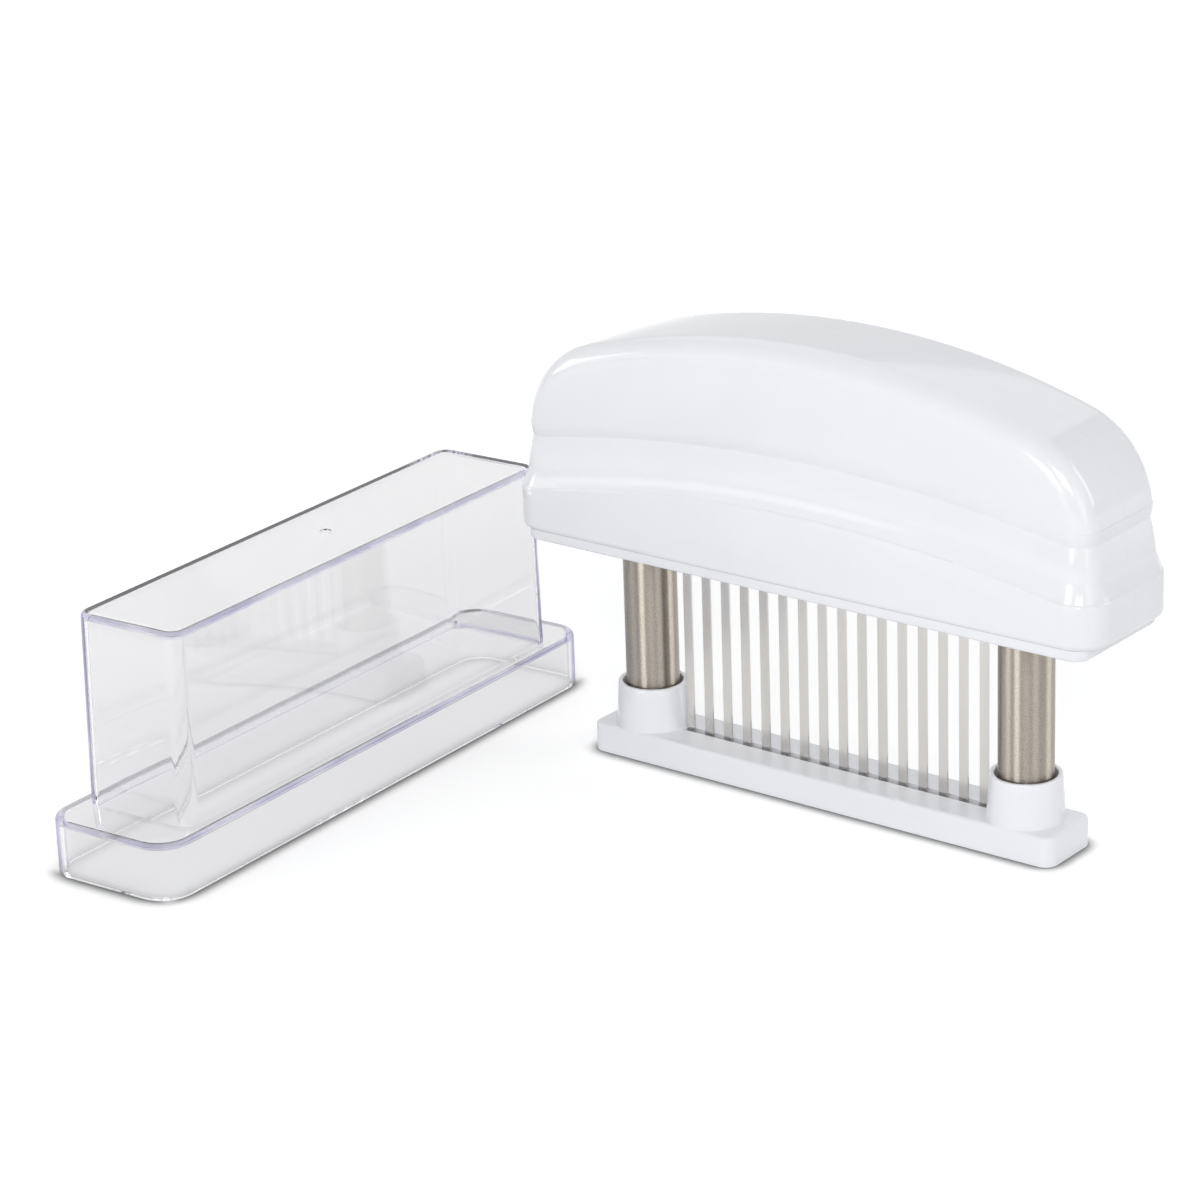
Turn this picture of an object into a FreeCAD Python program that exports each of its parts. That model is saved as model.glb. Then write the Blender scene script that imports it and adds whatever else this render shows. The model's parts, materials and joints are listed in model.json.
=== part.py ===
import FreeCAD, Part
import math
import os

from FreeCAD import Vector

# Blade meat tenderizer with its clear storage cover, taken off and standing beside it.
# X runs along the handle, Y from front to back, Z up. The origin is the middle of the
# underside of the base, which stands on the board. All sizes are in millimetres.
#
# The base carries two steel columns. The head (handle, bottom plate, blade carrier and
# sixteen blades) slides down the columns against two springs, and the blades pass
# through the long slot of the base.

# ---------------------------------------------------------------- driving dimensions
# Handle, outside
skirt_length = 146.2
skirt_depth = 33.0
skirt_corner_radius = 7.2
skirt_end_height = 9.5          # from the bottom rim to the ridge, at the ends
ridge_rise = 6.4                # how much higher the ridge is in the middle
skirt_rim_radius = 1.5
ridge_round = 0.35              # half height of the rounded ridge line
cove_height = 5.1
cove_depth = 1.8
cove_knee_height = 3.0          # the cove's flank ends here, above the ridge
cove_knee_depth = 1.35
cove_bend_height = 4.1          # middle of the cove's bend, above the ridge
cove_bend_depth = 1.68
cove_bow = 0.05                 # how far the cove's flank bows in
band_height = 5.95
band_bow = 0.1                  # how far the band bows out
groove_inset = 2.95             # deepest line of the groove, inside the skirt face
crown_foot_height = 2.6         # from the groove up to where the crown's face starts
crown_inset = 2.5
crown_step = 0.04               # how far the foot stands out from the crown above it
crown_lap = 0.3                 # height of the foot's upright rim round the crown
crown_top_radius = 185.0
crown_shoulder_radius = 21.0
crown_cap_thickness = 12.1      # from the spring seats up to the crest
# Handle, inside
skirt_side_wall = 2.4
skirt_end_wall = 3.8
skirt_hollow_height = 6.6
crown_wall = 2.7
rib_thickness = 2.0
rib_height = 7.4
rib_spread = 20.0
peg_radius = 1.5
peg_length = 3.5
peg_boss_wall = 1.6
peg_spread = 26.0
peg_drop = 7.0                  # from the inner crest down to the pegs
# Bottom plate
lip_height = 2.4
lip_end_inset = 2.8
lip_side_inset = 1.2
lip_corner_radius = 3.5
lip_edge_radius = 0.7
plug_height = 3.0
plate_screw_inset = 10.4        # from the skirt end to the screws
plate_screw_offset = 8.0        # from the middle plane to the screws
plate_screw_radius = 1.4
plate_screw_length = 12.0
plate_screw_head_radius = 2.9
plate_screw_head_height = 1.7
plate_boss_wall = 1.8
# Columns and what rides on them
column_inset = 25.1             # from the skirt end to the column axis
column_radius = 5.85
column_wall = 1.0
column_length = 55.4
column_tip = 1.2                # above the stop ring
ring_groove_depth = 0.5
ring_thickness = 1.2
ring_width = 1.55
ring_gap_angle = 50.0
washer_thickness = 1.0
bush_wall = 1.25
bush_flange_width = 0.65
bush_flange_height = 1.2
bush_crown_height = 1.3
plug_rod_length = 9.0
spring_wire_radius = 0.55
spring_side_gap = 0.45
spring_turns = 16
spring_peg_length = 12.0
seat_block_side_gap = 0.6
press_stroke = 29.0
press_stop_gap = 0.6
column_screw_radius = 1.9
column_screw_head_radius = 3.4
column_screw_head_height = 2.0
column_screw_sink = 0.4         # from the underside of the base up to the screw's head
column_screw_reach = 6.0        # length of the screw inside the column's end plug
# Base
base_end_reach = 11.0           # from the column axis to the end of the base
base_depth = 16.8
base_thickness = 6.4
base_corner_radius = 2.8
base_edge_radius = 0.8
socket_height = 9.8
socket_foot_radius = 8.3
socket_rim_wall = 1.05
socket_gap = 0.7                # wide upper bore of the socket around the column
socket_seat_height = 3.0        # snug lower bore of the socket
socket_floor = 2.6
socket_lip_radius = 0.35
slot_width = 2.2
# Blades and their carrier
blade_count = 16
blade_width = 2.1
blade_thickness = 0.5
blade_head_width = 3.0
blade_head_height = 2.6
blade_point_height = 3.0
blade_tip_height = 2.0          # above the underside of the base, at rest
carrier_depth = 14.0
carrier_height = 12.0
carrier_end_wall = 1.25
cap_thickness = 2.5
carrier_screw_spread = 30.0
carrier_screw_offset = 4.6
carrier_screw_radius = 1.1
carrier_screw_length = 8.0
carrier_screw_head_radius = 2.0
carrier_screw_head_height = 1.2
# Clear cover
cover_wall = 1.5
cover_rim_gap = 0.3             # cover flange stands this far outside the skirt's ends
cover_side_gap = 0.5            # and this far outside its long sides
cover_height = 54.4
cover_flange_height = 12.4
cover_flange_corner = 7.0
cover_end_ledge = 10.45
cover_side_ledge = 2.85
cover_box_corner = 3.4
cover_draft = 0.6               # how much the box narrows on each side towards its top
cover_edge_radius = 1.2
cover_inner_edge_radius = 0.45
cover_center_x = -99.4
cover_center_y = -49.7
cover_turn = 93.0               # degrees from the handle's length to the cover's length
gate_mark_radius = 1.3
gate_mark_depth = 0.25
gate_mark_offset = 3.0
# Every screw head, as shares of its height or radius
head_round_share = 0.3
recess_depth_share = 0.55
recess_reach_share = 0.6        # half length of each arm of the cross
recess_width_share = 0.14       # half width of each arm
# Clearances
running_gap = 0.05              # bush around the column
fit_gap = 0.1                   # a piece in its pocket, slot or hole
thread_gap = 0.02
touch_gap = 0.01
plug_gap = 0.2                  # bottom plate inside the skirt
sweep_gap = 0.45                # carrier beside the stop rings

# ---------------------------------------------------------------- derived sizes
half_length = skirt_length / 2
half_depth = skirt_depth / 2
column_x = half_length - column_inset
base_length = 2 * (column_x + base_end_reach)

# Heights of the column stack
column_foot_z = column_screw_sink + column_screw_head_height + socket_floor
column_top_z = column_foot_z + column_length
ring_top_z = column_top_z - column_tip
ring_bottom_z = ring_top_z - ring_thickness
bush_top_z = ring_bottom_z - washer_thickness
plate_top_z = bush_top_z - bush_crown_height - bush_flange_height
lip_top_z = plate_top_z - plug_height
lip_bottom_z = lip_top_z - lip_height
seat_z = column_top_z + press_stroke + press_stop_gap
crest_z = seat_z + crown_cap_thickness
socket_rim_z = base_thickness + socket_height

# Radii on the column axis
column_bore = column_radius - column_wall
ring_groove_radius = column_radius - ring_groove_depth
ring_outer_radius = ring_groove_radius + ring_width
bush_bore = column_radius + running_gap
bush_radius = bush_bore + bush_wall
bush_flange_radius = bush_radius + bush_flange_width
spring_mean_radius = column_bore - spring_side_gap - spring_wire_radius
spring_peg_radius = spring_mean_radius - spring_wire_radius - spring_side_gap
end_plug_top_z = column_foot_z + plug_rod_length
socket_bore = column_radius + socket_gap
socket_rim_radius = socket_bore + socket_rim_wall
screw_recess_depth = column_foot_z - socket_floor

# Blade row, set between the stop rings
carrier_half_length = column_x - ring_outer_radius - sweep_gap
carrier_foot_half_length = column_x - bush_flange_radius - sweep_gap
row_half_span = carrier_half_length - carrier_end_wall - blade_head_width / 2
blade_pitch = 2 * row_half_span / (blade_count - 1)
row_half_width = row_half_span + blade_width / 2
slot_half_length = row_half_width + fit_gap
carrier_foot_z = plate_top_z
carrier_step_z = bush_top_z - bush_crown_height + sweep_gap
carrier_top_z = carrier_foot_z + carrier_height
head_pocket_z = carrier_top_z - blade_head_height - fit_gap
cap_top_z = carrier_top_z + cap_thickness

# Ridge line of the handle: an arc on the long sides, level round the ends
ridge_half_span = half_length - skirt_corner_radius
ridge_end_z = lip_top_z + skirt_end_height
ridge_mid_z = ridge_end_z + ridge_rise
ridge_radius = (ridge_half_span ** 2 + ridge_rise ** 2) / (2 * ridge_rise)
ridge_center_z = ridge_mid_z - ridge_radius
groove_rise = cove_height + band_height
crown_foot_rise = groove_rise + crown_foot_height
crown_rim_rise = crown_foot_rise + crown_lap
crown_half_length = half_length - crown_inset
crown_half_depth = half_depth - crown_inset
crown_edge_radius = skirt_corner_radius - crown_inset

far = 4 * skirt_length          # larger than the whole part, for cutting tools
spare_swing = 1.0               # degrees by which a turned block overshoots, before trimming
quarter_turn_bend = 1 - math.sqrt(0.5)      # where a quarter circle passes, from its corner


# ---------------------------------------------------------------- small helpers
def save(shape, node):
    """Write one node of the assembly."""
    shape.exportStep("parts/" + node + ".step")


def mirror_x(shape):
    return shape.mirror(Vector(0, 0, 0), Vector(1, 0, 0))


def mirror_y(shape):
    return shape.mirror(Vector(0, 0, 0), Vector(0, 1, 0))


def box(x0, x1, y0, y1, z0, z1):
    return Part.makeBox(x1 - x0, y1 - y0, z1 - z0, Vector(x0, y0, z0))


def rod(radius, x, y, z0, z1):
    return Part.makeCylinder(radius, z1 - z0, Vector(x, y, z0))


def tube(inner, outer, x, y, z0, z1):
    return rod(outer, x, y, z0, z1).cut(rod(inner, x, y, z0, z1))


def edge_loop(points):
    """Closed wire of straight edges through the points."""
    return Part.makePolygon(points + [points[0]])


def rounded_outline(half_x, half_y, radius, z):
    """Rectangle with round corners, as a closed wire at height z."""
    centers = [
        (half_x - radius, half_y - radius, 0),
        (radius - half_x, half_y - radius, 90),
        (radius - half_x, radius - half_y, 180),
        (half_x - radius, radius - half_y, 270),
    ]
    edges = []
    last = None
    for cx, cy, start in centers:
        arc = Part.ArcOfCircle(
            Part.Circle(Vector(cx, cy, z), Vector(0, 0, 1), radius),
            math.radians(start),
            math.radians(start + 90),
        )
        if last is not None:
            edges.append(Part.LineSegment(last, arc.StartPoint).toShape())
        edges.append(arc.toShape())
        last = arc.EndPoint
    edges.append(Part.LineSegment(last, edges[0].Vertexes[0].Point).toShape())
    return Part.Wire(edges)


def rounded_block(half_x, half_y, radius, z0, z1):
    face = Part.Face(rounded_outline(half_x, half_y, radius, z0))
    return face.extrude(Vector(0, 0, z1 - z0))


def edges_at(shape, z, inside=None):
    """Edges that lie wholly at height z, and inside the test if one is given."""
    found = []
    for edge in shape.Edges:
        bounds = edge.BoundBox
        if abs(bounds.ZMin - z) < touch_gap and abs(bounds.ZMax - z) < touch_gap:
            if inside is None or inside(edge):
                found.append(edge)
    return found


# ---------------------------------------------------------------- handle shells
def ridge_height(rise):
    """Height round the ends of the line that runs this far above the ridge arc."""
    radius = ridge_radius + rise
    return ridge_center_z + math.sqrt(radius ** 2 - ridge_half_span ** 2)


def side_point(inset, rise):
    """Point of the front face's section at the middle of the handle."""
    return Vector(0, inset - half_depth, ridge_mid_z + rise)


def bowed(first, last, swell):
    """Edge between two points that bows outward, away from the middle plane, by swell."""
    along = last - first
    outward = Vector(0, -along.z, along.y)
    outward.normalize()
    return Part.Arc(first, (first + last) / 2 + outward * swell, last).toShape()


def front_section():
    """Front half of the lower handle's section: skirt, ridge, cove, band and groove."""
    ridge_low = side_point(0, -ridge_round)
    ridge_middle = side_point(quarter_turn_bend * ridge_round, quarter_turn_bend * ridge_round)
    ridge_high = side_point(ridge_round, ridge_round)
    knee = side_point(cove_knee_depth, cove_knee_height)
    cove_bend = side_point(cove_bend_depth, cove_bend_height)
    cove_end = side_point(cove_depth, cove_height)
    groove = side_point(groove_inset, groove_rise)
    foot_inset = crown_inset - crown_step
    foot_depth = groove_inset - foot_inset
    foot_round = (crown_foot_height ** 2 + foot_depth ** 2) / (2 * foot_depth)
    half_swing = math.asin(crown_foot_height / foot_round) / 2
    foot_bend = side_point(
        foot_inset + foot_round * (1 - math.cos(half_swing)),
        crown_foot_rise - foot_round * math.sin(half_swing),
    )
    foot_end = side_point(foot_inset, crown_foot_rise)
    rim_end = side_point(foot_inset, crown_rim_rise)
    corner = Vector(0, -half_depth, lip_top_z - cove_height)
    middle_low = Vector(0, 0, corner.z)
    middle_high = Vector(0, 0, rim_end.z)
    edges = [
        Part.LineSegment(middle_low, corner).toShape(),
        Part.LineSegment(corner, ridge_low).toShape(),
        Part.Arc(ridge_low, ridge_middle, ridge_high).toShape(),
        bowed(ridge_high, knee, -cove_bow),
        Part.Arc(knee, cove_bend, cove_end).toShape(),
        bowed(cove_end, groove, band_bow),
        Part.Arc(groove, foot_bend, foot_end).toShape(),
        Part.LineSegment(foot_end, rim_end).toShape(),
        Part.LineSegment(rim_end, middle_high).toShape(),
        Part.LineSegment(middle_high, middle_low).toShape(),
    ]
    return Part.Face(Part.Wire(edges))


def lower_half():
    """Front half of the lower handle, with its lines arched on the front face."""
    section = front_section()
    axis_point = Vector(0, 0, ridge_center_z)
    low_radius = lip_top_z - cove_height - ridge_center_z
    swing = math.degrees(math.asin(ridge_half_span / low_radius)) + spare_swing
    section.rotate(axis_point, Vector(0, 1, 0), -swing)
    middle = section.revolve(axis_point, Vector(0, 1, 0), 2 * swing)
    middle = middle.common(
        box(-ridge_half_span, ridge_half_span, -half_depth, 0, lip_top_z, crest_z)
    )
    end_face = None
    for face in middle.Faces:
        if abs(face.BoundBox.XMin - ridge_half_span) < touch_gap:
            end_face = face
    corner_y = skirt_corner_radius - half_depth
    corner_tool = box(-far, far, -far, corner_y, -far, far)
    corner_face = end_face.common(corner_tool).Faces[0]
    corner_axis = Vector(ridge_half_span, corner_y, 0)
    corner = corner_face.revolve(corner_axis, Vector(0, 0, 1), 90)
    turned = corner_face.copy()
    turned.rotate(corner_axis, Vector(0, 0, 1), 90)
    end_block = turned.extrude(Vector(0, -corner_y, 0))
    right_end = corner.fuse(end_block)
    return middle.fuse([right_end, mirror_x(right_end)]).removeSplitter()


def arched_block(rise):
    """Everything below the line that runs this far above the ridge."""
    end_z = ridge_height(rise)
    start = Vector(-ridge_half_span, 0, end_z)
    top = Vector(0, 0, ridge_mid_z + rise)
    end = Vector(ridge_half_span, 0, end_z)
    corners = [
        end,
        Vector(far, 0, end_z),
        Vector(far, 0, -far),
        Vector(-far, 0, -far),
        Vector(-far, 0, end_z),
        start,
    ]
    edges = [Part.Arc(start, top, end).toShape()]
    for first, last in zip(corners, corners[1:]):
        edges.append(Part.LineSegment(first, last).toShape())
    block = Part.Face(Part.Wire(edges)).extrude(Vector(0, 2 * far, 0))
    block.translate(Vector(0, -far, 0))
    return block


def arch_face(inset, y):
    """Side outline of the crown, set in by inset, as a face in the plane of y."""
    half = crown_half_length - inset
    top_z = crest_z - inset
    arc_center_z = crest_z - crown_top_radius
    arc_radius = crown_top_radius - inset
    shoulder = crown_shoulder_radius - inset
    shoulder_x = half - shoulder
    shoulder_z = arc_center_z + math.sqrt((arc_radius - shoulder) ** 2 - shoulder_x ** 2)
    lean = math.atan2(shoulder_x, shoulder_z - arc_center_z)
    meet = Vector(arc_radius * math.sin(lean), y, arc_center_z + arc_radius * math.cos(lean))
    halfway = (lean + math.pi / 2) / 2
    bend = Vector(
        shoulder_x + shoulder * math.sin(halfway), y, shoulder_z + shoulder * math.cos(halfway)
    )
    side = Vector(half, y, shoulder_z)
    low = Vector(half, y, lip_top_z)

    def left(point):
        return Vector(-point.x, point.y, point.z)

    edges = [
        Part.LineSegment(left(low), left(side)).toShape(),
        Part.Arc(left(side), left(bend), left(meet)).toShape(),
        Part.Arc(left(meet), Vector(0, y, top_z), meet).toShape(),
        Part.Arc(meet, bend, side).toShape(),
        Part.LineSegment(side, low).toShape(),
        Part.LineSegment(low, left(low)).toShape(),
    ]
    return Part.Face(Part.Wire(edges))


def crown_half():
    """Front half of the arched crown, rounded where its top meets its front."""
    block = arch_face(0, -crown_half_depth).extrude(Vector(0, crown_half_depth, 0))
    outline = []
    for edge in block.Edges:
        bounds = edge.BoundBox
        in_front = bounds.YMax < touch_gap - crown_half_depth
        if in_front and bounds.ZMax > lip_top_z + touch_gap:
            outline.append(edge)
    block = block.makeFillet(crown_edge_radius, outline)
    return block.cut(arched_block(crown_foot_rise))


def hollow_half():
    """Space inside the front half of the handle."""
    front = box(-far, far, -far, 0, -far, far)
    skirt_hollow = rounded_block(
        half_length - skirt_end_wall,
        half_depth - skirt_side_wall,
        skirt_corner_radius - skirt_side_wall,
        lip_top_z - lip_height,
        lip_top_z + skirt_hollow_height,
    )
    inner_inset = groove_inset + skirt_side_wall - touch_gap
    band_hollow = rounded_block(
        half_length - inner_inset - (skirt_end_wall - skirt_side_wall),
        half_depth - inner_inset,
        skirt_corner_radius - skirt_side_wall,
        lip_top_z,
        ridge_height(crown_foot_rise),
    )
    crown_inner_half = crown_half_depth - crown_wall
    crown_hollow = arch_face(crown_wall, -crown_inner_half)
    crown_hollow = crown_hollow.extrude(Vector(0, crown_inner_half, 0))
    crown_hollow = crown_hollow.common(
        box(-far, far, -far, far, ridge_height(groove_rise), crest_z)
    )
    return skirt_hollow.fuse([band_hollow, crown_hollow]).common(front)


def shell_insides():
    """Seats, spring pegs, screw bosses and ribs of the front half, before trimming."""
    block_half = ring_outer_radius + seat_block_side_gap
    seats = []
    for x in (-column_x, column_x):
        seats.append(box(x - block_half, x + block_half, -half_depth, 0, seat_z, crest_z))
        peg = rod(spring_peg_radius, x, 0, seat_z - spring_peg_length, seat_z + touch_gap)
        seats.append(peg)
    boss_radius = plate_screw_radius + plate_boss_wall
    screw_x = half_length - plate_screw_inset
    boss_top = plate_top_z + plate_screw_length
    for x in (-screw_x, screw_x):
        boss = rod(boss_radius, x, -plate_screw_offset, plate_top_z, boss_top)
        web = box(
            x - plate_boss_wall / 2, x + plate_boss_wall / 2,
            -half_depth, -plate_screw_offset - plate_screw_radius, plate_top_z, boss_top,
        )
        seats += [boss, web]
    for x in (-rib_spread, 0, rib_spread):
        rib = box(
            x - rib_thickness / 2, x + rib_thickness / 2,
            -half_depth, 0, cap_top_z, cap_top_z + rib_height,
        )
        seats.append(rib)
    return seats


def peg_places():
    """Points on the middle plane where the two shells locate on each other."""
    center_z = crest_z - crown_top_radius
    inner_radius = crown_top_radius - crown_wall - peg_drop
    places = []
    for x in (-peg_spread, 0, peg_spread):
        places.append(Vector(x, 0, center_z + math.sqrt(inner_radius ** 2 - x ** 2)))
    return places


def half_handle():
    """Front half of the handle, closed at the middle plane, without its pegs."""
    outer = lower_half().fuse(crown_half()).removeSplitter()
    rim = edges_at(outer, lip_top_z, lambda edge: edge.CenterOfMass.y < -touch_gap)
    outer = outer.makeFillet(skirt_rim_radius, rim)
    insides = shell_insides()
    for place in peg_places():
        boss = Part.makeCylinder(
            peg_radius + peg_boss_wall, half_depth, place, Vector(0, -1, 0)
        )
        insides.append(boss)
    shell = outer.cut(hollow_half().cut(insides))
    screw_x = half_length - plate_screw_inset
    for x in (-screw_x, screw_x):
        hole = rod(
            plate_screw_radius + thread_gap, x, -plate_screw_offset,
            plate_top_z - touch_gap, plate_top_z + plate_screw_length - plate_boss_wall,
        )
        shell = shell.cut(hole)
    return shell.removeSplitter()


def handle_shells():
    half = half_handle()
    front = half
    rear = mirror_y(half)
    for place in peg_places():
        hole = Part.makeCylinder(
            peg_radius + fit_gap, peg_length + fit_gap, place, Vector(0, -1, 0)
        )
        front = front.cut(hole)
        root = place + Vector(0, peg_radius, 0)
        peg = Part.makeCylinder(peg_radius, peg_length + peg_radius, root, Vector(0, -1, 0))
        rear = rear.fuse(peg)
    save(front, "handle_front_shell")
    save(rear.removeSplitter(), "handle_rear_shell")


# ---------------------------------------------------------------- bottom plate
def bottom_plate():
    lip = rounded_block(
        half_length - lip_end_inset,
        half_depth - lip_side_inset,
        lip_corner_radius,
        lip_bottom_z,
        lip_top_z,
    )
    lip = lip.makeFillet(lip_edge_radius, edges_at(lip, lip_bottom_z))
    plug = rounded_block(
        half_length - skirt_end_wall - plug_gap,
        half_depth - skirt_side_wall - plug_gap,
        skirt_corner_radius - skirt_side_wall,
        lip_top_z,
        plate_top_z,
    )
    plate = lip.fuse(plug)
    for x in (-column_x, column_x):
        plate = plate.cut(rod(bush_radius + touch_gap, x, 0, lip_bottom_z, plate_top_z))
    slot = box(
        -slot_half_length - fit_gap, slot_half_length + fit_gap,
        -slot_width / 2, slot_width / 2, lip_bottom_z, plate_top_z,
    )
    plate = plate.cut(slot)
    for x, y in plate_screw_places():
        plate = plate.cut(rod(plate_screw_radius + fit_gap, x, y, lip_bottom_z, plate_top_z))
        recess_top = lip_bottom_z + plate_screw_head_height + fit_gap
        plate = plate.cut(
            rod(plate_screw_head_radius + fit_gap, x, y, lip_bottom_z, recess_top)
        )
    save(plate.removeSplitter(), "bottom_plate")


def plate_screw_places():
    x = half_length - plate_screw_inset
    y = plate_screw_offset
    return [(-x, -y), (x, -y), (-x, y), (x, y)]


def cross_screw(radius, head_radius, x, y, head_low, head_high, shank_end):
    """Round-headed screw with a cross recess in the outer side of its head.

    The head lies between head_low and head_high, and the shank runs to shank_end.
    """
    head = rod(head_radius, x, y, head_low, head_high)
    points_up = shank_end > head_high
    outer = head_low if points_up else head_high
    inner = head_high if points_up else head_low
    outer_edges = [
        edge for edge in edges_at(head, outer) if edge.Length > head_radius
    ]
    head = head.makeFillet(head_round_share * (head_high - head_low), outer_edges)
    shank = rod(radius, x, y, min(inner, shank_end), max(inner, shank_end))
    screw = head.fuse(shank)
    depth = recess_depth_share * (head_high - head_low)
    low = outer if points_up else outer - depth
    arm = recess_reach_share * head_radius
    half_arm = recess_width_share * head_radius
    screw = screw.cut(box(x - arm, x + arm, y - half_arm, y + half_arm, low, low + depth))
    return screw.cut(box(x - half_arm, x + half_arm, y - arm, y + arm, low, low + depth))


def plate_screws():
    screws = []
    for x, y in plate_screw_places():
        head_top = lip_bottom_z + plate_screw_head_height + fit_gap
        screws.append(
            cross_screw(
                plate_screw_radius, plate_screw_head_radius, x, y,
                head_top - plate_screw_head_height, head_top,
                plate_top_z + plate_screw_length - 2 * plate_boss_wall,
            )
        )
    save(Part.makeCompound(screws), "plate_screws")


# ---------------------------------------------------------------- base
def base():
    plate = rounded_block(
        base_length / 2, base_depth / 2, base_corner_radius, 0, base_thickness
    )
    plate = plate.makeFillet(base_edge_radius, edges_at(plate, base_thickness))
    body = plate
    for x in (-column_x, column_x):
        cup = Part.makeCone(
            socket_foot_radius, socket_rim_radius,
            socket_rim_z - base_thickness + base_edge_radius,
            Vector(x, 0, base_thickness - base_edge_radius),
        )
        body = body.fuse(cup)
    for x in (-column_x, column_x):
        seat_top = column_foot_z + socket_seat_height
        body = body.cut(rod(column_radius + touch_gap, x, 0, column_foot_z, socket_rim_z))
        body = body.cut(rod(socket_bore, x, 0, seat_top, socket_rim_z))
        body = body.cut(rod(column_screw_radius + fit_gap, x, 0, 0, column_foot_z))
        body = body.cut(
            rod(column_screw_head_radius + fit_gap, x, 0, 0, screw_recess_depth)
        )
    body = body.makeFillet(socket_lip_radius, edges_at(body, socket_rim_z))
    slot = box(
        -slot_half_length, slot_half_length, -slot_width / 2, slot_width / 2,
        0, base_thickness,
    )
    save(body.cut(slot).removeSplitter(), "base")


# ---------------------------------------------------------------- columns
def column(x):
    pipe = tube(column_bore, column_radius, x, 0, column_foot_z, column_top_z)
    groove = tube(ring_groove_radius, column_radius, x, 0, ring_bottom_z, ring_top_z)
    return pipe.cut(groove)


def end_plug(x):
    rod_radius = column_bore - touch_gap
    plug = rod(rod_radius, x, 0, column_foot_z, end_plug_top_z)
    thread = rod(
        column_screw_radius + thread_gap, x, 0,
        column_foot_z, column_foot_z + column_screw_reach + fit_gap,
    )
    return plug.cut(thread)


def stop_ring(x):
    """Open retaining ring in the groove near the top of the column."""
    ring = tube(
        ring_groove_radius + touch_gap, ring_outer_radius, x, 0, ring_bottom_z, ring_top_z
    )
    half_gap = math.radians(ring_gap_angle / 2)
    reach = 2 * ring_outer_radius
    mouth = edge_loop([
        Vector(x, 0, ring_bottom_z),
        Vector(x + reach * math.sin(half_gap), reach * math.cos(half_gap), ring_bottom_z),
        Vector(x - reach * math.sin(half_gap), reach * math.cos(half_gap), ring_bottom_z),
    ])
    return ring.cut(Part.Face(mouth).extrude(Vector(0, 0, ring_thickness)))


def stop_washer(x):
    return tube(bush_bore, ring_outer_radius, x, 0, bush_top_z, ring_bottom_z)


def guide_bush(x):
    flange_top = plate_top_z + bush_flange_height
    bush = rod(bush_radius, x, 0, lip_bottom_z + lip_edge_radius, bush_top_z)
    bush = bush.fuse(rod(bush_flange_radius, x, 0, plate_top_z, flange_top))
    return bush.cut(rod(bush_bore, x, 0, lip_bottom_z, bush_top_z)).removeSplitter()


def return_spring(x):
    """Coil spring between the column's end plug and the seat in the handle."""
    low = end_plug_top_z + spring_wire_radius + touch_gap
    high = seat_z - spring_wire_radius - touch_gap
    pitch = (high - low) / spring_turns
    helix = Part.makeHelix(pitch, high - low, spring_mean_radius)
    wire_end = Part.Wire(
        Part.makeCircle(
            spring_wire_radius, Vector(spring_mean_radius, 0, 0), Vector(0, 1, 0)
        )
    )
    coil = Part.Wire(helix).makePipeShell([wire_end], True, True)
    coil.translate(Vector(x, 0, low))
    return coil


def columns():
    for side, x in (("left", -column_x), ("right", column_x)):
        save(column(x), "column_" + side)
        save(end_plug(x), "column_end_plug_" + side)
        save(stop_ring(x), "stop_ring_" + side)
        save(stop_washer(x), "stop_washer_" + side)
        save(guide_bush(x), "guide_bush_" + side)
        save(return_spring(x), "return_spring_" + side)


def column_screws():
    screws = []
    for x in (-column_x, column_x):
        screws.append(
            cross_screw(
                column_screw_radius, column_screw_head_radius, x, 0,
                screw_recess_depth - column_screw_head_height, screw_recess_depth,
                column_foot_z + column_screw_reach,
            )
        )
    save(Part.makeCompound(screws), "column_screws")


# ---------------------------------------------------------------- blades
def blade_places():
    return [index * blade_pitch - row_half_span for index in range(blade_count)]


def blade(x):
    """Flat blade with a pointed end and a wider head that hangs in the carrier."""
    head_low = head_pocket_z
    head_high = head_low + blade_head_height
    half = blade_width / 2
    half_head = blade_head_width / 2
    shoulder_z = blade_tip_height + blade_point_height
    y = -blade_thickness / 2
    outline = edge_loop([
        Vector(x, y, blade_tip_height),
        Vector(x + half, y, shoulder_z),
        Vector(x + half, y, head_low),
        Vector(x + half_head, y, head_low),
        Vector(x + half_head, y, head_high),
        Vector(x - half_head, y, head_high),
        Vector(x - half_head, y, head_low),
        Vector(x - half, y, head_low),
        Vector(x - half, y, shoulder_z),
    ])
    return Part.Face(outline).extrude(Vector(0, blade_thickness, 0))


def blades():
    for number, x in enumerate(blade_places(), start=1):
        save(blade(x), "blade_%02d" % number)


def carrier_screw_places():
    x = carrier_screw_spread
    y = carrier_screw_offset
    return [(-x, -y), (x, -y), (-x, y), (x, y)]


def blade_carrier():
    half_depth_here = carrier_depth / 2
    foot = box(
        -carrier_foot_half_length, carrier_foot_half_length,
        -half_depth_here, half_depth_here, carrier_foot_z, carrier_step_z,
    )
    bar = box(
        -carrier_half_length, carrier_half_length,
        -half_depth_here, half_depth_here, carrier_step_z, carrier_top_z,
    )
    carrier = foot.fuse(bar)
    slot_half = blade_width / 2 + fit_gap
    pocket_half = blade_head_width / 2 + fit_gap
    thick_half = blade_thickness / 2 + fit_gap
    for x in blade_places():
        slot = box(
            x - slot_half, x + slot_half, -thick_half, thick_half,
            carrier_foot_z, carrier_top_z,
        )
        pocket = box(
            x - pocket_half, x + pocket_half, -thick_half, thick_half,
            head_pocket_z, carrier_top_z,
        )
        carrier = carrier.cut(slot.fuse(pocket))
    for x, y in carrier_screw_places():
        hole_low = cap_top_z - carrier_screw_length - fit_gap
        carrier = carrier.cut(
            rod(carrier_screw_radius + thread_gap, x, y, hole_low, carrier_top_z)
        )
    save(carrier.removeSplitter(), "blade_carrier")


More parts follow.
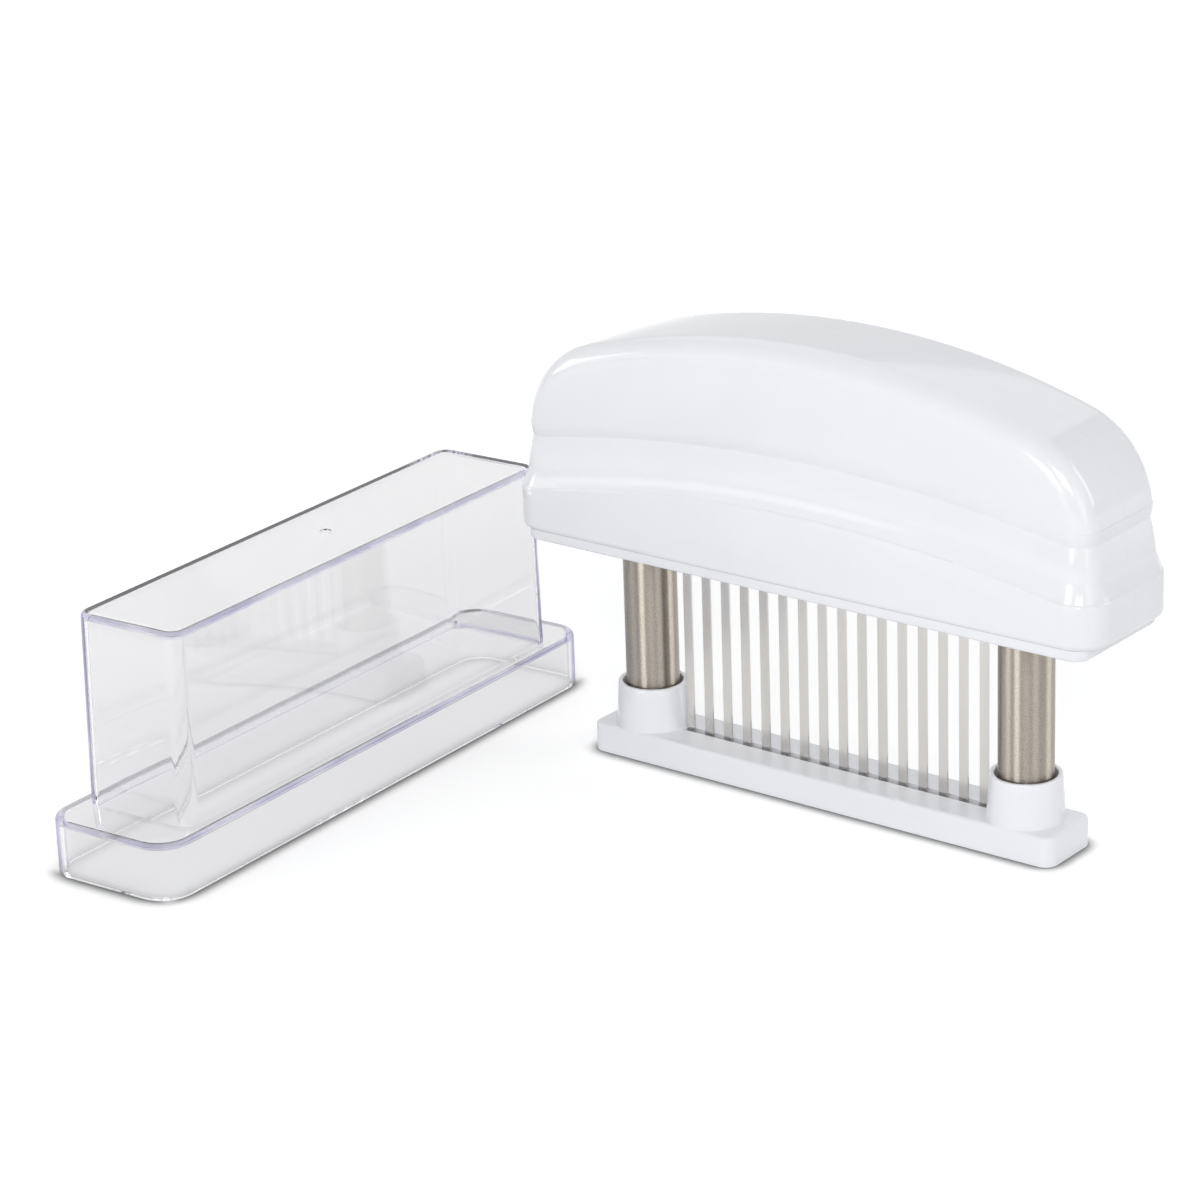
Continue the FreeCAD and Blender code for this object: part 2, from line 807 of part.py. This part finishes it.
def carrier_cap():
    cap = box(
        -carrier_half_length, carrier_half_length,
        -carrier_depth / 2, carrier_depth / 2, carrier_top_z, cap_top_z,
    )
    for x, y in carrier_screw_places():
        cap = cap.cut(rod(carrier_screw_radius + fit_gap, x, y, carrier_top_z, cap_top_z))
    save(cap, "carrier_cap")


def carrier_screws():
    screws = []
    for x, y in carrier_screw_places():
        screws.append(
            cross_screw(
                carrier_screw_radius, carrier_screw_head_radius, x, y,
                cap_top_z, cap_top_z + carrier_screw_head_height,
                cap_top_z - carrier_screw_length,
            )
        )
    save(Part.makeCompound(screws), "carrier_screws")


# ---------------------------------------------------------------- clear cover
def tapered_block(low, high, radius, z0, z1):
    """Block with round corners that narrows from the half sizes low to high."""
    wires = [
        rounded_outline(low[0], low[1], radius, z0),
        rounded_outline(high[0], high[1], radius, z1),
    ]
    return Part.makeLoft(wires, True, True)


def cover_form(inset, height, flange_height, edge_radius):
    """Top-hat form of the cover, set in by the wall for its inside."""
    flange_x = half_length + cover_rim_gap - inset
    flange_y = half_depth + cover_side_gap - inset
    box_x = half_length + cover_rim_gap - cover_end_ledge - inset
    box_y = half_depth + cover_side_gap - cover_side_ledge - inset
    flange = rounded_block(
        flange_x, flange_y, cover_flange_corner - inset, 0, flange_height
    )
    flange = flange.makeFillet(edge_radius, edges_at(flange, flange_height))
    upper = tapered_block(
        (box_x, box_y), (box_x - cover_draft, box_y - cover_draft),
        cover_box_corner - inset, flange_height - edge_radius, height,
    )
    upper = upper.makeFillet(edge_radius, edges_at(upper, height))
    return flange.fuse(upper)


def storage_cover():
    outer = cover_form(0, cover_height, cover_flange_height, cover_edge_radius)
    inner = cover_form(
        cover_wall, cover_height - cover_wall, cover_flange_height - cover_wall,
        cover_inner_edge_radius,
    )
    cover = outer.cut(inner)
    mark = rod(
        gate_mark_radius, gate_mark_offset, 0, cover_height - gate_mark_depth, cover_height
    )
    cover = cover.cut(mark)
    cover.rotate(Vector(0, 0, 0), Vector(0, 0, 1), cover_turn)
    cover.translate(Vector(cover_center_x, cover_center_y, 0))
    save(cover, "storage_cover")


# ---------------------------------------------------------------- the whole part
os.makedirs("parts", exist_ok=True)
handle_shells()
bottom_plate()
plate_screws()
base()
columns()
column_screws()
blades()
blade_carrier()
carrier_cap()
carrier_screws()
storage_cover()
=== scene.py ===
import json
import math

import bmesh
import bpy
from mathutils import Matrix, Vector


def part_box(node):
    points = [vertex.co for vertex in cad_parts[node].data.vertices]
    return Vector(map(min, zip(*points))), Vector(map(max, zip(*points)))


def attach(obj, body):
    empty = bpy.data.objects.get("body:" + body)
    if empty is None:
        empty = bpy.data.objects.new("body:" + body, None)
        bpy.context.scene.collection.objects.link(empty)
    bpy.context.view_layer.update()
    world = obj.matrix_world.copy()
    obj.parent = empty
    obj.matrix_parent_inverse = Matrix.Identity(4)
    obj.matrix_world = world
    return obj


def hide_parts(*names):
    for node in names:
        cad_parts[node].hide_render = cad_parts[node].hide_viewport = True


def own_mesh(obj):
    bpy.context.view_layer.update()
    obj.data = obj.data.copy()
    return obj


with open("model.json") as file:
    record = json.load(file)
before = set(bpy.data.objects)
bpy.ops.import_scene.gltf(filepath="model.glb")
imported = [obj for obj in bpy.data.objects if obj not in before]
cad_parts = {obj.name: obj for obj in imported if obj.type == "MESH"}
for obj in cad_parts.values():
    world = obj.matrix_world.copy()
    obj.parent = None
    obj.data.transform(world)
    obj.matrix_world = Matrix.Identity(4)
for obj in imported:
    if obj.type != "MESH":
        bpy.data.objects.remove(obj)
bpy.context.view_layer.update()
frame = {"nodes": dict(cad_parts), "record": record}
nodes = frame["nodes"]
scene = bpy.context.scene
scene.view_settings.view_transform = "Standard"

# Lengths are in metres, in the frame of the CAD model.
MM = 0.001

COLUMN_X = 48.0 * MM
SPRING_RADIUS = 4.4 * MM
SPRING_WIRE_RADIUS = 0.55 * MM
SPRING_TURNS = 16

COVER_PLACE = (-99.4 * MM, -49.7 * MM, 0.0)
COVER_TURN = math.radians(93.0)

SMOOTH_BELOW = math.radians(28.0)


# ---------------------------------------------------------------- node helpers
def new_material(name):
    """A material with a Principled shader on its output, and nothing else."""
    material = bpy.data.materials.new(name)
    material.use_nodes = True
    tree = material.node_tree
    tree.nodes.clear()
    output = tree.nodes.new("ShaderNodeOutputMaterial")
    shader = tree.nodes.new("ShaderNodeBsdfPrincipled")
    tree.links.new(shader.outputs["BSDF"], output.inputs["Surface"])
    return material, tree, shader, output


def math_node(tree, operation, first, second=None):
    node = tree.nodes.new("ShaderNodeMath")
    node.operation = operation
    for socket, value in zip(node.inputs, (first, second)):
        if value is None:
            continue
        if isinstance(value, (int, float)):
            socket.default_value = value
        else:
            tree.links.new(value, socket)
    return node.outputs[0]


def object_coordinates(tree):
    return tree.nodes.new("ShaderNodeTexCoord").outputs["Object"]


def separated(tree, vector):
    """The X, Y and Z sockets of a vector."""
    node = tree.nodes.new("ShaderNodeSeparateXYZ")
    tree.links.new(vector, node.inputs["Vector"])
    return node.outputs["X"], node.outputs["Y"], node.outputs["Z"]


def noise(tree, vector, scale, detail=3.0, roughness=0.5, stretch=None):
    if stretch is not None:
        mapping = tree.nodes.new("ShaderNodeMapping")
        mapping.inputs["Scale"].default_value = stretch
        tree.links.new(vector, mapping.inputs["Vector"])
        vector = mapping.outputs["Vector"]
    node = tree.nodes.new("ShaderNodeTexNoise")
    node.inputs["Scale"].default_value = scale
    node.inputs["Detail"].default_value = detail
    node.inputs["Roughness"].default_value = roughness
    tree.links.new(vector, node.inputs["Vector"])
    return node.outputs["Fac"]


def ranged(tree, value, low, high, from_low=0.0, from_high=1.0):
    """Goes from low to high as value goes from from_low to from_high, and stays there."""
    node = tree.nodes.new("ShaderNodeMapRange")
    node.inputs["From Min"].default_value = from_low
    node.inputs["From Max"].default_value = from_high
    node.inputs["To Min"].default_value = low
    node.inputs["To Max"].default_value = high
    tree.links.new(value, node.inputs["Value"])
    return node.outputs["Result"]


def mixed_color(tree, factor, first, second):
    node = tree.nodes.new("ShaderNodeMix")
    node.data_type = "RGBA"
    tree.links.new(factor, node.inputs["Factor"])
    for socket, value in ((node.inputs[6], first), (node.inputs[7], second)):
        if isinstance(value, tuple):
            socket.default_value = (*value, 1.0)
        else:
            tree.links.new(value, socket)
    return node.outputs[2]


def mixed_shader(tree, factor, first, second):
    node = tree.nodes.new("ShaderNodeMixShader")
    tree.links.new(factor, node.inputs["Fac"])
    tree.links.new(first, node.inputs[1])
    tree.links.new(second, node.inputs[2])
    return node.outputs["Shader"]


def seen_directly(tree):
    """1 for rays from the camera, also by gloss or through glass, and 0 for rays that light."""
    paths = tree.nodes.new("ShaderNodeLightPath")
    seen = paths.outputs["Is Camera Ray"]
    for name in ("Is Glossy Ray", "Is Transmission Ray"):
        seen = math_node(tree, "MAXIMUM", seen, paths.outputs[name])
    unscattered = math_node(tree, "LESS_THAN", paths.outputs["Diffuse Depth"], 0.5)
    return math_node(tree, "MULTIPLY", seen, unscattered)


def bump(tree, height, distance, strength, normal=None):
    node = tree.nodes.new("ShaderNodeBump")
    node.inputs["Distance"].default_value = distance
    node.inputs["Strength"].default_value = strength
    tree.links.new(height, node.inputs["Height"])
    if normal is not None:
        tree.links.new(normal, node.inputs["Normal"])
    return node.outputs["Normal"]


# ---------------------------------------------------------------- materials
def white_plastic(name, color, shade, roughness, peel_depth, seam):
    """Glossy moulded plastic, with a fine parting line on the plane Y = 0 if seam is set."""
    seam_core, seam_edge = 0.03 * MM, 0.16 * MM
    material, tree, shader, _ = new_material(name)
    place = object_coordinates(tree)
    cloud = noise(tree, place, 55.0, 4.0)
    body = mixed_color(tree, ranged(tree, cloud, 0.0, 1.0, 0.35, 0.7), color, shade)
    peel = noise(tree, place, 420.0, 2.0)
    normal = bump(tree, peel, peel_depth, 0.10)
    if seam:
        away = math_node(tree, "ABSOLUTE", separated(tree, place)[1])
        line = ranged(tree, away, 1.0, 0.0, seam_core, seam_edge)
        body = mixed_color(tree, line, body, tuple(0.975 * part for part in shade))
        sunk = math_node(tree, "SUBTRACT", 1.0, line)
        normal = bump(tree, sunk, 0.1 * MM, 0.12, normal)
    tree.links.new(body, shader.inputs["Base Color"])
    wear = noise(tree, place, 120.0, 5.0, 0.6)
    tree.links.new(
        ranged(tree, wear, roughness * 0.75, roughness * 1.35), shader.inputs["Roughness"]
    )
    tree.links.new(normal, shader.inputs["Normal"])
    shader.inputs["IOR"].default_value = 1.50
    shader.inputs["Coat Weight"].default_value = 0.2
    shader.inputs["Coat Roughness"].default_value = 0.03
    return material


def drawn_steel(name, color, shade, roughness, stretch, scale, depth):
    """Steel with fine lines along one axis, from how it was drawn or ground."""
    material, tree, shader, _ = new_material(name)
    place = object_coordinates(tree)
    lines = noise(tree, place, scale, 4.0, 0.6, stretch)
    broad = noise(tree, place, scale * 0.12, 2.0, 0.5, stretch)
    tone = mixed_color(tree, ranged(tree, broad, 0.0, 1.0, 0.3, 0.7), color, shade)
    tree.links.new(tone, shader.inputs["Base Color"])
    tree.links.new(
        ranged(tree, lines, roughness * 0.7, roughness * 1.3), shader.inputs["Roughness"]
    )
    tree.links.new(bump(tree, lines, depth, 0.25), shader.inputs["Normal"])
    shader.inputs["Metallic"].default_value = 1.0
    return material


def ground_tube(name, color, shade, roughness):
    """Steel tube ground round its axis: fine specks, and highlights drawn out along Z."""
    material, tree, shader, _ = new_material(name)
    place = object_coordinates(tree)
    specks = noise(tree, place, 5200.0, 2.0, 0.7, (1.0, 1.0, 0.55))
    tone = mixed_color(tree, ranged(tree, specks, 0.0, 1.0, 0.34, 0.66), shade, color)
    tree.links.new(tone, shader.inputs["Base Color"])
    rings = noise(tree, place, 1300.0, 3.0, 0.6, (0.2, 0.2, 1.0))
    tree.links.new(
        ranged(tree, rings, roughness * 0.85, roughness * 1.15), shader.inputs["Roughness"]
    )
    tree.links.new(bump(tree, specks, 0.02 * MM, 0.15), shader.inputs["Normal"])
    around = tree.nodes.new("ShaderNodeTangent")
    around.direction_type = "RADIAL"
    around.axis = "Z"
    tree.links.new(around.outputs["Tangent"], shader.inputs["Tangent"])
    shader.inputs["Anisotropic"].default_value = 0.90
    shader.inputs["Anisotropic Rotation"].default_value = 0.25
    shader.inputs["Metallic"].default_value = 1.0
    return material


def clear_plastic_rim(tree):
    """1 on the rounds of the level edges and on the outlines, where the wall is seen along."""
    geometry = tree.nodes.new("ShaderNodeNewGeometry")
    normal_x, normal_y, normal_z = separated(tree, geometry.outputs["Normal"])
    slope = math_node(tree, "ABSOLUTE", normal_z)
    bend = math_node(
        tree, "MULTIPLY",
        ranged(tree, slope, 0.0, 1.0, 0.16, 0.40), ranged(tree, slope, 1.0, 0.0, 0.88, 0.97),
    )
    upright = math_node(
        tree, "MINIMUM",
        math_node(tree, "ABSOLUTE", normal_x), math_node(tree, "ABSOLUTE", normal_y),
    )
    glance = tree.nodes.new("ShaderNodeLayerWeight")
    glance.inputs["Blend"].default_value = 0.5
    aside = glance.outputs["Facing"]
    corner = math_node(
        tree, "MULTIPLY",
        ranged(tree, upright, 0.0, 1.0, 0.08, 0.20), ranged(tree, aside, 0.0, 1.0, 0.45, 0.65),
    )
    rim = math_node(tree, "MAXIMUM", bend, corner)
    return math_node(tree, "MAXIMUM", rim, ranged(tree, aside, 0.0, 1.0, 0.80, 0.92))


def clear_plastic(name):
    """Clear moulded sheet: it darkens towards violet where the view runs along the wall."""
    material, tree, shader, output = new_material(name)
    place = object_coordinates(tree)
    shader.inputs["Base Color"].default_value = (0.90, 0.90, 0.90, 1.0)
    shader.inputs["Transmission Weight"].default_value = 1.0
    shader.inputs["IOR"].default_value = 1.49
    smear = noise(tree, place, 60.0, 4.0)
    tree.links.new(ranged(tree, smear, 0.0, 0.05, 0.4, 0.75), shader.inputs["Roughness"])
    ripple = noise(tree, place, 45.0, 1.5)
    tree.links.new(bump(tree, ripple, 0.4 * MM, 0.12), shader.inputs["Normal"])

    # Light goes straight through the rims, violet and uneven. What has gone in straight
    # also comes out straight, because bent on one side only it would be thrown back.
    rim = clear_plastic_rim(tree)
    uneven = ranged(tree, noise(tree, place, 70.0, 3.0), 0.0, 1.0, 0.35, 0.65)
    violet = mixed_color(tree, uneven, (0.62, 0.61, 0.74), (0.84, 0.83, 0.90))
    through = tree.nodes.new("ShaderNodeBsdfTransparent")
    tree.links.new(
        mixed_color(tree, rim, (0.93, 0.93, 0.935), violet), through.inputs["Color"]
    )
    paths = tree.nodes.new("ShaderNodeLightPath")
    passed = math_node(tree, "GREATER_THAN", paths.outputs["Transparent Depth"], 0.5)
    straight = math_node(tree, "MAXIMUM", math_node(tree, "MULTIPLY", rim, 0.88), passed)
    edged = mixed_shader(tree, straight, shader.outputs["BSDF"], through.outputs["BSDF"])

    # Light for the floor and the tool passes straight through, a little weakened.
    clear = tree.nodes.new("ShaderNodeBsdfTransparent")
    clear.inputs["Color"].default_value = (0.80, 0.80, 0.81, 1.0)
    lighting = math_node(
        tree, "MAXIMUM", paths.outputs["Is Shadow Ray"], paths.outputs["Is Diffuse Ray"]
    )
    surface = mixed_shader(tree, lighting, edged, clear.outputs["BSDF"])
    tree.links.new(surface, output.inputs["Surface"])
    inside = tree.nodes.new("ShaderNodeVolumeAbsorption")
    inside.inputs["Color"].default_value = (0.80, 0.79, 0.87, 1.0)
    inside.inputs["Density"].default_value = 45.0
    tree.links.new(inside.outputs["Volume"], output.inputs["Volume"])
    return material


def plain_plastic(name, color, roughness):
    """Matt moulded plastic with a fine grain."""
    material, tree, shader, _ = new_material(name)
    place = object_coordinates(tree)
    grain = noise(tree, place, 700.0, 3.0)
    cloud = noise(tree, place, 90.0, 3.0)
    shade = tuple(0.93 * part for part in color)
    tree.links.new(mixed_color(tree, cloud, color, shade), shader.inputs["Base Color"])
    tree.links.new(
        ranged(tree, grain, roughness * 0.85, roughness * 1.1), shader.inputs["Roughness"]
    )
    tree.links.new(bump(tree, grain, 0.1 * MM, 0.2), shader.inputs["Normal"])
    return material


along_z = (1.0, 1.0, 0.04)
around_z = (0.15, 0.15, 1.0)
materials = {
    "white_shell": white_plastic(
        "white_shell_look", (0.865, 0.875, 0.905), (0.85, 0.86, 0.89),
        roughness=0.11, peel_depth=0.12 * MM, seam=True,
    ),
    # Lighter than the shells as painted light, against the shade that the head casts on the
    # base.
    "brightened_base": white_plastic(
        "white_base_look", (0.905, 0.915, 0.945), (0.89, 0.90, 0.93),
        roughness=0.02, peel_depth=0.01 * MM, seam=False,
    ),
    "column_steel": ground_tube(
        "column_steel_look", (0.37, 0.335, 0.295), (0.27, 0.24, 0.21), roughness=0.33
    ),
    "blade_steel": drawn_steel(
        "blade_steel_look", (0.65, 0.635, 0.615), (0.59, 0.575, 0.555),
        roughness=0.22, stretch=along_z, scale=1200.0, depth=0.02 * MM,
    ),
    "screw_steel": drawn_steel(
        "screw_steel_look", (0.58, 0.58, 0.58), (0.50, 0.50, 0.50),
        roughness=0.30, stretch=around_z, scale=1500.0, depth=0.04 * MM,
    ),
    "spring_steel": drawn_steel(
        "spring_steel_look", (0.48, 0.48, 0.48), (0.42, 0.42, 0.42),
        roughness=0.28, stretch=around_z, scale=1500.0, depth=0.03 * MM,
    ),
    "ring_steel": drawn_steel(
        "ring_steel_look", (0.42, 0.42, 0.43), (0.36, 0.36, 0.37),
        roughness=0.32, stretch=around_z, scale=1200.0, depth=0.04 * MM,
    ),
    "plug_metal": drawn_steel(
        "plug_metal_look", (0.66, 0.66, 0.67), (0.60, 0.60, 0.61),
        roughness=0.35, stretch=around_z, scale=900.0, depth=0.05 * MM,
    ),
    "bush_plastic": plain_plastic("bush_plastic_look", (0.80, 0.80, 0.77), roughness=0.42),
    "inner_plastic": plain_plastic("inner_plastic_look", (0.82, 0.82, 0.82), roughness=0.45),
    "clear_plastic": clear_plastic("clear_plastic_look"),
}
slot_of = {part["node"]: part["material_slot"] for part in frame["record"]["subparts"]}
for name, node in nodes.items():
    # The base shares its slot with the shells, but has a sharper gloss, no seam and a lighter
    # colour. The lighter colour is painted light, which makes up for the shade that the head
    # casts on the base.
    look = materials["brightened_base" if name == "base" else slot_of[name]]
    node.data.materials.clear()
    node.data.materials.append(look)


# ---------------------------------------------------------------- shading of the CAD nodes
def even_shading(smooth_below):
    """Node group that joins split corners and shades smooth, but for edges over the angle."""
    group = bpy.data.node_groups.new("even_shading", "GeometryNodeTree")
    group.interface.new_socket("Geometry", in_out="INPUT", socket_type="NodeSocketGeometry")
    group.interface.new_socket("Geometry", in_out="OUTPUT", socket_type="NodeSocketGeometry")
    group.is_modifier = True
    start = group.nodes.new("NodeGroupInput")
    plain = group.nodes.new("GeometryNodeRemoveAttribute")
    plain.inputs["Name"].default_value = "custom_normal"
    welded = group.nodes.new("GeometryNodeMergeByDistance")
    welded.inputs["Distance"].default_value = 0.002 * MM
    smooth = group.nodes.new("GeometryNodeSetShadeSmooth")
    smooth.domain = "FACE"
    smooth.inputs["Shade Smooth"].default_value = True
    sharp = group.nodes.new("GeometryNodeSetShadeSmooth")
    sharp.domain = "EDGE"
    sharp.inputs["Shade Smooth"].default_value = False
    bend = group.nodes.new("GeometryNodeInputMeshEdgeAngle")
    over = group.nodes.new("ShaderNodeMath")
    over.operation = "GREATER_THAN"
    over.inputs[1].default_value = smooth_below
    end = group.nodes.new("NodeGroupOutput")
    links = group.links
    links.new(start.outputs[0], plain.inputs["Geometry"])
    links.new(plain.outputs["Geometry"], welded.inputs["Geometry"])
    links.new(welded.outputs["Geometry"], smooth.inputs["Geometry"])
    links.new(smooth.outputs["Geometry"], sharp.inputs["Geometry"])
    links.new(bend.outputs["Unsigned Angle"], over.inputs[0])
    links.new(over.outputs[0], sharp.inputs["Selection"])
    links.new(sharp.outputs["Geometry"], end.inputs[0])
    return group


shading = even_shading(SMOOTH_BELOW)
for node in nodes.values():
    modifier = node.modifiers.new("even_shading", "NODES")
    modifier.node_group = shading


# ---------------------------------------------------------------- return springs
def coil_spring(name, x, low, high, outer_radius, wire_radius, turns):
    """Round wire wound about a vertical axis, from one end of the CAD spring to the other."""
    steps_per_turn, sides = 40, 12
    mean_radius = outer_radius - wire_radius
    low, high = low + wire_radius, high - wire_radius
    steps = steps_per_turn * turns
    rise_per_angle = (high - low) / (2.0 * math.pi * turns)
    form = bmesh.new()
    rings = []
    for step in range(steps + 1):
        share = step / steps
        turn = 2.0 * math.pi * turns * share
        out = Vector((math.cos(turn), math.sin(turn), 0.0))
        run = Vector((-math.sin(turn), math.cos(turn), rise_per_angle / mean_radius))
        side = run.normalized().cross(out)
        center = Vector((x, 0.0, low + (high - low) * share)) + mean_radius * out
        ring = []
        for part in range(sides):
            angle = 2.0 * math.pi * part / sides
            offset = wire_radius * (math.cos(angle) * out + math.sin(angle) * side)
            ring.append(form.verts.new(center + offset))
        rings.append(ring)
    for first, second in zip(rings, rings[1:]):
        for part in range(sides):
            after = (part + 1) % sides
            face = form.faces.new((first[part], first[after], second[after], second[part]))
            face.smooth = True
    form.faces.new(rings[0])
    form.faces.new(rings[-1])
    bmesh.ops.recalc_face_normals(form, faces=form.faces)
    mesh = bpy.data.meshes.new(name)
    form.to_mesh(mesh)
    form.free()
    spring = bpy.data.objects.new(name, mesh)
    scene.collection.objects.link(spring)
    return spring


# The springs stand on the end plugs.
for side, x in (("left", -COLUMN_X), ("right", COLUMN_X)):
    node_name = "return_spring_" + side
    low_corner, high_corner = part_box(node_name)
    spring = coil_spring(
        "spring_coil_" + side, x, low_corner[2], high_corner[2],
        SPRING_RADIUS, SPRING_WIRE_RADIUS, SPRING_TURNS,
    )
    spring.data.materials.append(materials["spring_steel"])
    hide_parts(node_name)
    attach(spring, "stand")
    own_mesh(spring)


# ---------------------------------------------------------------- floor
def floor_sheet(half, step_count):
    mesh = bpy.data.meshes.new("floor")
    form = bmesh.new()
    bmesh.ops.create_grid(form, x_segments=step_count, y_segments=step_count, size=half)
    form.to_mesh(mesh)
    form.free()
    sheet = bpy.data.objects.new("floor", mesh)
    scene.collection.objects.link(sheet)
    return sheet


def painted_contact_shade(tree, place):
    """Painted contact shade: the floor darkens where the part meets it, found by an occlusion
    test, and less on a fixed patch under and behind the clear cover.
    """
    near = tree.nodes.new("ShaderNodeAmbientOcclusion")
    near.samples = 12
    near.inputs["Distance"].default_value = 4.0 * MM
    contact = ranged(tree, near.outputs["AO"], 0.85, 0.0, 0.50, 0.95)
    turned = tree.nodes.new("ShaderNodeMapping")
    turned.vector_type = "TEXTURE"
    turned.inputs["Location"].default_value = COVER_PLACE
    turned.inputs["Rotation"].default_value = (0.0, 0.0, COVER_TURN)
    tree.links.new(place, turned.inputs["Vector"])
    along, across, _ = separated(tree, turned.outputs["Vector"])
    inside_front = math_node(
        tree, "MULTIPLY",
        ranged(tree, along, 0.0, 1.0, -73.0 * MM, -71.0 * MM),
        ranged(tree, across, 0.0, 1.0, -16.6 * MM, -14.6 * MM),
    )
    inside_rear = math_node(
        tree, "MULTIPLY",
        ranged(tree, along, 1.0, 0.0, 78.0 * MM, 84.0 * MM),
        ranged(tree, across, 1.0, 0.0, 22.0 * MM, 28.0 * MM),
    )
    cover = math_node(tree, "MULTIPLY", inside_front, inside_rear)
    return math_node(tree, "MULTIPLY", contact, ranged(tree, cover, 1.0, 0.25))


def white_floor(name):
    """Matt white with a glow for direct rays, so that it shows white but keeps its shadows, and
    with painted contact shade where the part meets it.
    """
    near_reach, far_reach = 0.30, 0.70
    near_glow, far_glow = 0.43, 0.76
    material, tree, shader, output = new_material(name)
    tree.nodes.remove(shader)
    place = object_coordinates(tree)
    # The painted contact shade darkens the floor's colour and its glow, for direct rays only.
    shaded = math_node(tree, "MULTIPLY", painted_contact_shade(tree, place), seen_directly(tree))
    open_share = math_node(tree, "SUBTRACT", 1.0, shaded)
    matte = tree.nodes.new("ShaderNodeBsdfDiffuse")
    tree.links.new(
        mixed_color(tree, open_share, (0.0, 0.0, 0.0), (0.90, 0.90, 0.90)),
        matte.inputs["Color"],
    )
    glow = tree.nodes.new("ShaderNodeEmission")
    reach = tree.nodes.new("ShaderNodeVectorMath")
    reach.operation = "LENGTH"
    tree.links.new(place, reach.inputs[0])
    fill = ranged(
        tree, reach.outputs["Value"], near_glow, far_glow, near_reach, far_reach
    )
    fill = math_node(tree, "MULTIPLY", fill, open_share)
    fill = math_node(tree, "MULTIPLY", seen_directly(tree), fill)
    tree.links.new(fill, glow.inputs["Strength"])
    both = tree.nodes.new("ShaderNodeAddShader")
    tree.links.new(matte.outputs["BSDF"], both.inputs[0])
    tree.links.new(glow.outputs["Emission"], both.inputs[1])
    tree.links.new(both.outputs["Shader"], output.inputs["Surface"])
    return material


floor = floor_sheet(4.0, 8)
floor.location.z = -0.1 * MM
floor.data.materials.append(white_floor("floor_look"))


# ---------------------------------------------------------------- world and lamps
def studio_world(name):
    """Soft light from all round for the part, and white where it is seen."""
    world = bpy.data.worlds.new(name)
    world.use_nodes = True
    tree = world.node_tree
    tree.nodes.clear()
    output = tree.nodes.new("ShaderNodeOutputWorld")
    ambient = tree.nodes.new("ShaderNodeBackground")
    ambient.inputs["Color"].default_value = (0.98, 0.99, 1.0, 1.0)
    ambient.inputs["Strength"].default_value = 0.38
    backdrop = tree.nodes.new("ShaderNodeBackground")
    backdrop.inputs["Color"].default_value = (1.0, 1.0, 1.0, 1.0)
    backdrop.inputs["Strength"].default_value = 1.0
    chosen = mixed_shader(
        tree, seen_directly(tree),
        ambient.outputs["Background"], backdrop.outputs["Background"],
    )
    tree.links.new(chosen, output.inputs["Surface"])
    return world


scene.world = studio_world("studio")

LIGHT_CENTER = Vector((0.0, 0.0, 0.05))


def softbox(name, azimuth, elevation, distance, size, level, receivers=None):
    """Area lamp round the part. Azimuth 0 is in front (-Y) and 90 at the right (+X).

    A white surface that faces the lamp squarely gains this level of radiance from it.
    With receivers the lamp lights those pieces only.
    """
    turn = math.radians(azimuth)
    rise = math.radians(elevation)
    away = Vector(
        (math.sin(turn) * math.cos(rise), -math.cos(turn) * math.cos(rise), math.sin(rise))
    )
    data = bpy.data.lights.new(name, "AREA")
    data.shape = "RECTANGLE"
    data.size = size[0]
    data.size_y = size[1]
    data.energy = level * (math.pi * distance) ** 2
    lamp = bpy.data.objects.new(name, data)
    scene.collection.objects.link(lamp)
    lamp.location = LIGHT_CENTER + distance * away
    lamp.rotation_euler = (-away).to_track_quat("-Z", "Y").to_euler()
    if receivers is not None:
        lamp.light_linking.receiver_collection = receivers


# Name, azimuth, elevation, distance, size and level of each lamp.
for lamp in (
    ("high_box", 34.0, 29.0, 1.3, (0.50, 0.40), 0.31),
    ("far_box", -145.0, 55.0, 1.3, (1.30, 1.30), 0.17),
    ("edge_box", -39.0, 12.0, 1.3, (0.52, 0.11), 0.016),
    ("front_box", -3.0, 12.0, 1.3, (0.50, 0.40), 0.14),
    ("left_box", -64.0, 15.0, 1.3, (0.50, 0.40), 0.13),
    ("right_box", 68.0, 15.0, 1.35, (0.50, 0.70), 0.075),
    ("rear_box", 130.0, 25.0, 1.3, (0.32, 0.80), 0.12),
):
    softbox(*lamp)

# Low strips draw the streaks on the columns.
columns = bpy.data.collections.new("columns")
for name in ("column_left", "column_right"):
    columns.objects.link(nodes[name])
for strip in (
    ("front_strip", -3.0, 2.0, 1.3, (0.42, 0.16), 0.23),
    ("left_strip", -44.0, 2.0, 1.3, (0.56, 0.16), 0.26),
    ("right_strip", 70.0, 3.0, 1.3, (0.50, 0.20), 0.08),
    ("rear_strip", 129.0, 3.0, 1.3, (0.60, 0.20), 0.30),
):
    softbox(*strip, receivers=columns)


# ---------------------------------------------------------------- camera
def photo_camera(place, yaw, pitch, roll, focal_pixels, picture_pixels):
    """Camera as fitted to the photograph. Yaw turns from +Y towards +X, pitch looks down."""
    forward = Vector(
        (math.sin(yaw) * math.cos(pitch), math.cos(yaw) * math.cos(pitch), -math.sin(pitch))
    )
    level_right = Vector((math.cos(yaw), -math.sin(yaw), 0.0))
    level_up = level_right.cross(forward)
    right = math.cos(roll) * level_right + math.sin(roll) * level_up
    up = -math.sin(roll) * level_right + math.cos(roll) * level_up
    data = bpy.data.cameras.new("camera")
    data.sensor_fit = "HORIZONTAL"
    data.sensor_width = 36.0
    data.lens = focal_pixels * data.sensor_width / picture_pixels
    data.clip_start = 0.01
    camera = bpy.data.objects.new("camera", data)
    scene.collection.objects.link(camera)
    turn = Matrix((right, up, -forward)).transposed().to_4x4()
    camera.matrix_world = Matrix.Translation(place) @ turn
    return camera


scene.camera = photo_camera(
    Vector((0.452352, -0.642790, 0.333711)),
    yaw=-0.6750207, pitch=0.3517, roll=-0.0350,
    focal_pixels=3992.19, picture_pixels=1200.0,
)
